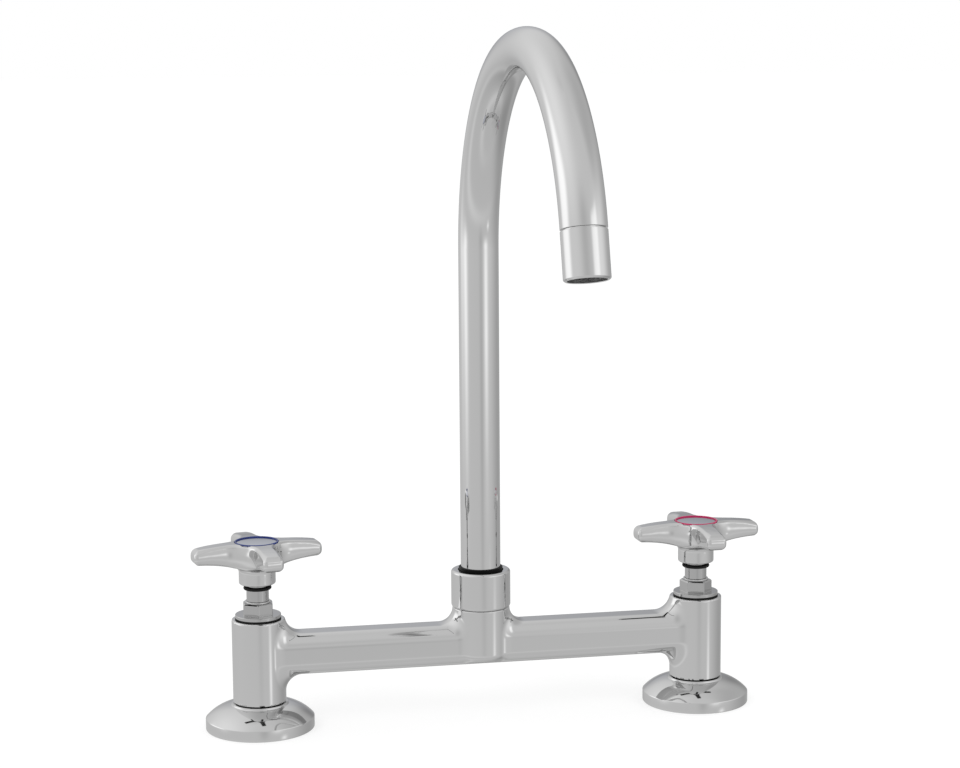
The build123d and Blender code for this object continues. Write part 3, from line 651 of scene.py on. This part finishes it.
def field_mesh(field, low, high, cell):
    """Points, faces and normals of the surface where a field is zero, on cubes of size `cell`.

    The surface crosses a cube's edge where the field would be zero if it were linear along it. The
    cube's point starts at the mean of those crossings, and each edge that the surface crosses gets
    a face between the points of the four cubes round it. Then, four times over, every point moves
    down the field's slope by the field's value.
    """
    axes = [np.arange(a, b + cell, cell) for a, b in zip(low, high)]
    corner = np.stack(np.meshgrid(*axes, indexing="ij"), axis=-1)
    value = field(corner)
    inside = value < 0
    size = np.array(value.shape) - 1
    # The mean of the crossings on each cube's twelve edges, four of which run along each axis.
    total, count = np.zeros((*size, 3)), np.zeros(size)
    for axis in range(3):
        for one in (0, 1):
            for two in (0, 1):
                start = [0, 0, 0]
                start[(axis + 1) % 3], start[(axis + 2) % 3] = one, two
                stop = list(start)
                stop[axis] = 1
                a = tuple(slice(s, s + n) for s, n in zip(start, size))
                b = tuple(slice(s, s + n) for s, n in zip(stop, size))
                crossed = inside[a] != inside[b]
                share = np.where(crossed, value[a] / np.where(crossed, value[a] - value[b], 1), 0)
                total += crossed[..., None] * (corner[a] + share[..., None] * (corner[b] - corner[a]))
                count += crossed
    points = total[count > 0] / count[count > 0][:, None]
    number = np.full(size, -1)
    number[count > 0] = np.arange(len(points))
    # A face round each crossed edge, wound so that it looks out of the metal.
    quads = []
    for axis in range(3):
        near, far = [slice(1, -1)] * 3, [slice(1, -1)] * 3
        near[axis], far[axis] = slice(0, -1), slice(1, None)
        was_in, is_in = inside[tuple(near)], inside[tuple(far)]
        spot = np.argwhere(was_in != is_in)
        spot[:, (axis + 1) % 3] += 1
        spot[:, (axis + 2) % 3] += 1
        leaving = was_in[was_in != is_in]
        loop = []
        for one, two in ((-1, -1), (0, -1), (0, 0), (-1, 0)):
            moved = spot.copy()
            moved[:, (axis + 1) % 3] += one
            moved[:, (axis + 2) % 3] += two
            loop.append(number[tuple(moved.T)])
        loop = np.stack(loop, axis=-1)
        quads.append(np.where(leaving[:, None], loop, loop[:, ::-1]))
    for _ in range(4):
        points -= np.clip(field(points), -cell / 2, cell / 2)[:, None] * slope(field, points)
    return points, np.vstack(quads), slope(field, points)


# %% [markdown]
# ## The bridge
#
# Two pillars, the bar between them and the boss in the middle are one casting. The bar has rounded
# corners, the blends to the pillars have a radius of 8 mm and those to the boss 7 mm, and the boss
# ends below in a soft rim on the bar's face. The water ways are bored afterwards, as in the real
# one, so the mesh is hollow too. The front of the boss stays bare.

# %% A rounded corner
def corner_field(p, q, rounding):
    """The distance to a corner with its edge rounded, and that distance's slope along p and q.

    p and q are how far points are past the corner's two faces. Past the rounding's centre both
    ways, the distance is the one to that centre less the rounding. Elsewhere it is the larger of
    p and q.
    """
    p, q = p + rounding, q + rounding
    past_p, past_q = np.maximum(p, 0), np.maximum(q, 0)
    reach = np.hypot(past_p, past_q)
    safe = np.maximum(reach, 1e-9)
    distance = reach + np.minimum(np.maximum(p, q), 0) - rounding
    return (distance, np.where(reach > 0, past_p / safe, p > q),
            np.where(reach > 0, past_q / safe, p <= q))


# %% Bridge casting
bar_middle, bar_depth, bar_height, bar_corner = 33.7, 19.0, 18.6, 6.0
pillar_r, pillar_blend = 11.9, 8.0
boss_r, boss_low, boss_blend, boss_rim = 13.0, 26.7, 7.0, 3.0
neck_r, neck_top, neck_rounding = 11.38, 61.5, 0.3
foot_rounding, rim_rounding = 0.3, 0.5
half_span = inlet_x["hot"]
bar_bore_r = 5.0
# Radius, bottom and top of each upright bore.
pillar_bores = ((8.5, 12.4, 21.2), (6.0, 21.2, 21.8), (6.5, 21.8, 24.8), (8.6, 24.8, pillar_top))
boss_bores = ((7.0, bar_middle - bar_bore_r, 42.4), (10.18, 42.4, neck_top))
bridge_cell = 0.78


def bridge_field(points):
    """How far points are outside the bridge casting."""
    x, y, z = points[..., 0], points[..., 1], points[..., 2]
    # The bar: a rectangle with rounded corners, drawn in y and z.
    bar, bar_y, bar_z = corner_field(np.abs(y) - bar_depth / 2,
                                     np.abs(z - bar_middle) - bar_height / 2, bar_corner)
    bar_y = bar_y * np.sign(y)
    bar_z = bar_z * np.sign(z - bar_middle)
    # A pillar at each end. Past its axis there is no bar any more.
    from_axis = np.maximum(np.hypot(np.abs(x) - half_span, y), 1e-9)
    pillar = from_axis - pillar_r
    ends = rolled(bar, pillar, bar_y * y / from_axis, pillar_blend)
    ends = np.where(np.abs(x) > half_span, pillar, ends)
    # The boss: an upright cylinder with a soft lower rim.
    from_middle = np.maximum(np.hypot(x, y), 1e-9)
    boss, boss_out, boss_down = corner_field(from_middle - boss_r, boss_low - z, boss_rim)
    facing = bar_y * boss_out * y / from_middle - bar_z * boss_down
    centre = rolled(bar, boss, facing, boss_blend)
    near_middle = np.abs(x) < half_span / 2
    body = np.where(near_middle, centre, ends)
    body = trimmed(body, z - np.where(near_middle, boss_top, pillar_top), rim_rounding)
    body = trimmed(body, foot_z - z, foot_rounding)
    neck = trimmed(from_middle - neck_r, np.maximum(z - neck_top, bar_middle - z), neck_rounding)
    body = np.minimum(body, neck)
    # The water ways.
    hollow = np.maximum(np.hypot(y, z - bar_middle) - bar_bore_r, np.abs(x) - half_span)
    for away, bores in ((from_axis, pillar_bores), (from_middle, boss_bores)):
        for radius, low, high in bores:
            hollow = np.minimum(hollow, np.maximum(away - radius, np.maximum(low - z, z - high)))
    return np.maximum(body, -hollow)


# The grid starts at odd places, so that no flat face lies exactly on one of its planes.
points, faces, normals = field_mesh(bridge_field, (-115.03, -15.03, 11.23), (115, 15, 63), bridge_cell)
piece("bridge_casting", points, faces, "bridge", "chrome_plate", ["bridge_body"], normals)

# %% [markdown]
# ## Cross handles
#
# A handle is a thick four-armed star with a flat hub. Its arms slope down a little towards blunt
# tips and grow thicker towards the hub, where a skirt flares into them. Their sides are barrelled,
# and seen from above, the corners between them are wide curves. The two handles are the same
# casting, turned. Their underside is out of sight, but the flanges mirror it nearly black. So shade
# is painted there: an attribute on the faces that look down calls in a nearly black colour.

# %% Cross handles
arm_reach, arm_half, arm_web, arm_corner, arm_barrel = 29.3, 4.7, 10.5, 1.8, 0.7
arm_edge, tip_edge, soft_from, soft_run = 1.2, 2.2, 20, 8
arm_fall, arm_crown, arm_belly, arm_tip_t, arm_root_t = 1.8, 0.35, 1.2, 6.7, 11.9
skirt_r, skirt_low, skirt_high, skirt_edge, skirt_blend = 8.2, 66.1, 80.7, 0.8, 2.0
flare_r, flare_low, flare_high, hub_r = 10.496, 73.0, 82.7, 10.996
screw_r, screw_head_r, screw_seat = 2.2, 3.7, 80.3
gap, stem_bore_r, index_edge = 0.1, stem_r + 0.05, 0.25
handle_cell = 0.42


def box_field(x, y, half_x, half_y, corner):
    """How far points of a plane are outside a rectangle with rounded corners."""
    return corner_field(np.abs(x) - half_x, np.abs(y) - half_y, corner)[0]


def outside_arms(x, y, z, rho):
    """How far points are outside the four arms, which lie along x and y.

    Seen from above they are two long rectangles with a ball's blend in each corner between them.
    The top and the underside are each a line plus a low parabola. t is how far along them a point
    is, from 0 at the hub or the skirt to 1 at the tip.
    """
    star = rolled(box_field(x, y, arm_reach, arm_half, arm_corner),
                  box_field(x, y, arm_half, arm_reach, arm_corner), 0.0, arm_web)
    slope_start, tip = hub_r - 1.0, arm_reach + 1.0
    t = np.clip((rho - slope_start) / (tip - slope_start), 0, 1)
    top = handle_top - arm_fall * t + 4 * arm_crown * t * (1 - t)
    t = np.clip((rho - skirt_r) / (tip - skirt_r), 0, 1)
    root = handle_top - arm_root_t
    under = root + (handle_top - arm_fall - arm_tip_t - root) * t + 4 * arm_belly * t * (1 - t)
    # The sides are barrelled, by the square of the height from the middle, and the edges round
    # the arms grow softer towards the tips.
    star += arm_barrel * np.clip((2 * z - top - under) / (top - under), -1, 1) ** 2
    edge = arm_edge + (tip_edge - arm_edge) * np.clip((rho - soft_from) / soft_run, 0, 1) ** 2
    return trimmed(star, np.maximum(z - top, under - z), edge)


def handle_field(points):
    """How far points are outside a cross handle whose axis is x = y = 0."""
    x, y, z = points[..., 0], points[..., 1], points[..., 2]
    rho = np.hypot(x, y)
    arms = outside_arms(x, y, z, rho)
    # The skirt flares with the square of the height, and a smooth minimum joins it to the arms.
    s = np.clip((z - flare_low) / (flare_high - flare_low), 0, 1)
    skirt = rho - (skirt_r + (flare_r - skirt_r) * s * s)
    skirt = trimmed(skirt, np.maximum(skirt_low - z, z - skirt_high), skirt_edge)
    blend = np.clip(0.5 + (skirt - arms) / (2 * skirt_blend), 0, 1)
    body = skirt * (1 - blend) + arms * blend - skirt_blend * blend * (1 - blend)
    # The recess for the button, and the holes for the stem, its square end and the screw.
    recess = trimmed(body, -np.maximum(rho - index_r - gap, index_floor - z), index_edge)
    stem = np.maximum(rho - stem_bore_r, z - stem_top - gap)
    square = np.maximum(np.maximum(np.abs(x), np.abs(y)) - square_half - gap, z - square_top - gap)
    screw = np.maximum(rho - screw_r, z - index_floor)
    head = np.maximum(rho - screw_head_r, np.maximum(z - index_floor - gap, screw_seat - z))
    holes = np.minimum(np.minimum(stem, square), np.minimum(screw, head))
    return np.maximum(recess, -holes)


# %% Cross handle meshes
# Painted shade comes in where the surface faces down: from 0 to 1 as its normal's height
# goes from -0.7 to -0.95.
painted_shade_rate, painted_shade_start = 4, 2.8
star_points, star_faces, star_normals = field_mesh(handle_field, (-31.03, -31.03, 64.21),
                                                   (31, 31, 86.5), handle_cell)
painted_shade_amount = np.clip(-painted_shade_rate * star_normals[:, 2] - painted_shade_start, 0, 1).astype(np.float32)
for side, x in inlet_x.items():
    t = radians(handle_turn[side])
    turning = np.array([[cos(t), sin(t), 0], [-sin(t), cos(t), 0], [0, 0, 1]])
    points = star_points @ turning + (x, 0, 0)
    cross = piece(f"cross_{side}", points, star_faces, f"{side}_valve", "chrome_plate",
                  [f"handle_{side}"], star_normals @ turning, cast_chrome)
    cross.data.attributes.new("painted_shade", "FLOAT", "POINT").data.foreach_set("value", painted_shade_amount)

# %% [markdown]
# ## The studio
#
# A mirror shows its surroundings, so photographing chrome is mostly arranging what it sees. Small
# bright things are put in a light tent: a closed grey dome of cloth, with soft boxes behind it where
# the metal should gleam and dark cloths where its edges need a line. This tent is a large sphere
# that only reflections see. Each soft box or dark cloth is a smooth hill or hollow in its
# brightness, placed by direction from the faucet: the azimuth counts from the camera, positive to
# the right, and the elevation from the horizon. The studio's own sizes are in metres.

# %% Light tent
TENT_RADIUS, TENT_POWER = 8.0, 1.2
tent_grey, tent_rise = 0.595, 0.046
# Azimuth, elevation, half width and half height in degrees, firmness of the edge, and strength.
soft_boxes = {
    "left_box": (-101, 10, 23, 16, 4, 0.51),
    "left_box_lip": (-77, -5, 12, 4.2, 2, 0.40),
    "left_glow": (-94, 41, 69, 32, 2, 0.26),
    "right_box": (50, 22, 16.5, 6.5, 4, 0.40),
    "right_box_lip": (42, -5, 12, 4, 2, 0.47),
    "low_strip": (56, -16, 6, 2, 2, 0.40),
    "right_glow": (83, 14, 33, 16, 2, 0.33),
    "low_glow": (-72, -23, 115, 5, 2, 0.13),
    "table_glow": (-118, -62, 117, 7, 2, 0.12),
}
dark_cloths = {
    "right_cloth": (115, 26, 41, 43, 4, 0.16),
    "low_right_cloth": (128, -41, 36, 35, 2, 0.21),
    "camera_side": (-3, 27, 23, 14, 2, 0.14),
    "camera_low": (13, -8, 10, 8, 2, 0.10),
    "back_low": (-174, -32, 42, 19, 2, 0.21),
    "back_right": (160, 15, 14, 22, 2, 0.20),
    "back_line": (-176, 6, 12, 4.5, 2, 0.11),
    "over_left": (-124, 80, 36, 8, 2, 0.05),
    "behind": (180, 4, 24, 20, 4, 0.18),
}
blue_haze = (-178, 12, 16, 14, 2, 0.02)


def hill(azimuth, elevation, patch):
    """A smooth hill in the brightness, over a patch of the tent.

    Its height is the strength times e to the minus of two terms added: how far across and how far
    up a direction is from the patch's middle, each over the half size, to the power of firmness.
    """
    at, height, half_width, half_height, firmness, strength = patch
    across = (azimuth - at + 180) % 360 - 180
    return strength * np.exp(-np.abs(across / half_width) ** firmness
                             - np.abs((elevation - height) / half_height) ** firmness)


azimuth, elevation = np.meshgrid(np.arange(-180, 180, 2.0), np.linspace(-90, 90, 91), indexing="ij")
level = tent_grey + tent_rise * np.sin(np.radians(elevation))
for box in soft_boxes.values():
    level += hill(azimuth, elevation, box)
for cloth in dark_cloths.values():
    level -= hill(azimuth, elevation, cloth)
haze = hill(azimuth, elevation, blue_haze)
print("tent brightness from", round(float(level.min()), 2), "to", round(float(level.max()), 2))

# %% [markdown]
# The tent's mesh is a grid of directions, and the brightness is painted on its points as an
# attribute that its glowing cloth reads. It closes round the azimuth, and at each pole its last
# points are all in one place, so the faces from one pole over to the other are left out.

# %% Tent mesh
turn, rise = view_azimuth + np.radians(azimuth), np.radians(elevation)
points = TENT_RADIUS * np.stack((np.sin(turn) * np.cos(rise), -np.cos(turn) * np.cos(rise),
                                 np.sin(rise)), axis=-1)
faces = grid_faces(*azimuth.shape)
wraps_over_pole = faces[:, 1] % azimuth.shape[1] == 0
faces = faces[~wraps_over_pole]
mesh = bpy.data.meshes.new("light_tent")
mesh.from_pydata(points.reshape(-1, 3).tolist(), [], faces.tolist())
glow = mesh.attributes.new("glow", "FLOAT_COLOR", "POINT")
colour = TENT_POWER * np.stack((level - haze / 3, level, level + haze, np.ones_like(level)), axis=-1)
glow.data.foreach_set("color", colour.ravel().astype(np.float32))
tent_cloth = bpy.data.materials.new("tent_cloth")
tent_cloth.use_nodes = True
tent_cloth.cycles.emission_sampling = "NONE"
nodes, links = tent_cloth.node_tree.nodes, tent_cloth.node_tree.links
nodes.clear()
output = nodes.new("ShaderNodeOutputMaterial")
shine = nodes.new("ShaderNodeEmission")
drawn = nodes.new("ShaderNodeAttribute")
drawn.attribute_name = "glow"
links.new(drawn.outputs["Color"], shine.inputs["Color"])
links.new(shine.outputs["Emission"], output.inputs["Surface"])
mesh.materials.append(tent_cloth)
tent = bpy.data.objects.new("light_tent", mesh)
bpy.context.scene.collection.objects.link(tent)
for ray in ("camera", "diffuse", "transmission", "volume_scatter", "shadow"):
    setattr(tent, f"visible_{ray}", False)
print("tent of", len(faces), "faces")

# %% [markdown]
# ## Floor, sky and lamps
#
# The floor is pale and matt, and it keeps the faucet's shadow. What the camera sees of it is mixed
# with its own white, which makes it as white as the sky behind and the shadow as faint as in a
# catalogue picture. Light Path's Is Camera Ray does that, so the faucet gets no extra light. Two
# wide lamps, above to the left and to the right, light what isn't metal and cast that shadow.

# %% Floor
def camera_share(nodes, links, low, high):
    """A value that is `high` for camera rays and `low` for all others."""
    rays = nodes.new("ShaderNodeLightPath")
    choose = nodes.new("ShaderNodeMapRange")
    choose.inputs["To Min"].default_value = low
    choose.inputs["To Max"].default_value = high
    links.new(rays.outputs["Is Camera Ray"], choose.inputs["Value"])
    return choose.outputs["Result"]


FLOOR_REACH, FLOOR_Z = 30.0, -0.0002
floor_white, floor_white_share = 1.12, 0.6
floor_mesh = bpy.data.meshes.new("floor")
floor_mesh.from_pydata([(FLOOR_REACH * a, FLOOR_REACH * b, FLOOR_Z)
                        for a, b in ((-1, -1), (1, -1), (1, 1), (-1, 1))], [], [(0, 1, 2, 3)])
floor_look = finish("pale_floor", (0.95, 0.95, 0.95), 0, 0.9, 0.05, 30, shade=0.004, gloss=0)
nodes, links = floor_look.node_tree.nodes, floor_look.node_tree.links
blend = nodes.new("ShaderNodeMixShader")
white = nodes.new("ShaderNodeEmission")
white.inputs["Strength"].default_value = floor_white
links.new(camera_share(nodes, links, 0, floor_white_share), blend.inputs["Fac"])
links.new(nodes["Principled BSDF"].outputs["BSDF"], blend.inputs[1])
links.new(white.outputs["Emission"], blend.inputs[2])
links.new(blend.outputs["Shader"], nodes["Material Output"].inputs["Surface"])
floor_look.cycles.emission_sampling = "NONE"
floor_mesh.materials.append(floor_look)
floor = bpy.data.objects.new("floor", floor_mesh)
bpy.context.scene.collection.objects.link(floor)
floor.visible_glossy = False

# %% Sky and lamps
sky_light, sky_seen = 0.9, 1.0
world = bpy.data.worlds.new("studio")
bpy.context.scene.world = world
world.use_nodes = True
nodes, links = world.node_tree.nodes, world.node_tree.links
nodes["Background"].inputs["Color"].default_value = (1, 1, 1, 1)
links.new(camera_share(nodes, links, sky_light, sky_seen), nodes["Background"].inputs["Strength"])

# Place and width in metres, and power in watts.
lamps = {"lamp_left": ((-1.6, -1.2, 1.8), 1.2, 9), "lamp_right": ((1.5, -1.4, 1.6), 1.2, 6)}
lamp_aim = Vector((0, 0, 0.1))
for name, (spot, width, power) in lamps.items():
    lamp = bpy.data.lights.new(name, "AREA")
    lamp.energy = power
    lamp.size = width
    lamp_thing = bpy.data.objects.new(name, lamp)
    bpy.context.scene.collection.objects.link(lamp_thing)
    lamp_thing.location = spot
    lamp_thing.rotation_euler = (lamp_aim - Vector(spot)).to_track_quat("-Z", "Y").to_euler()
    lamp_thing.visible_glossy = False
bpy.context.scene.view_settings.view_transform = "Standard"
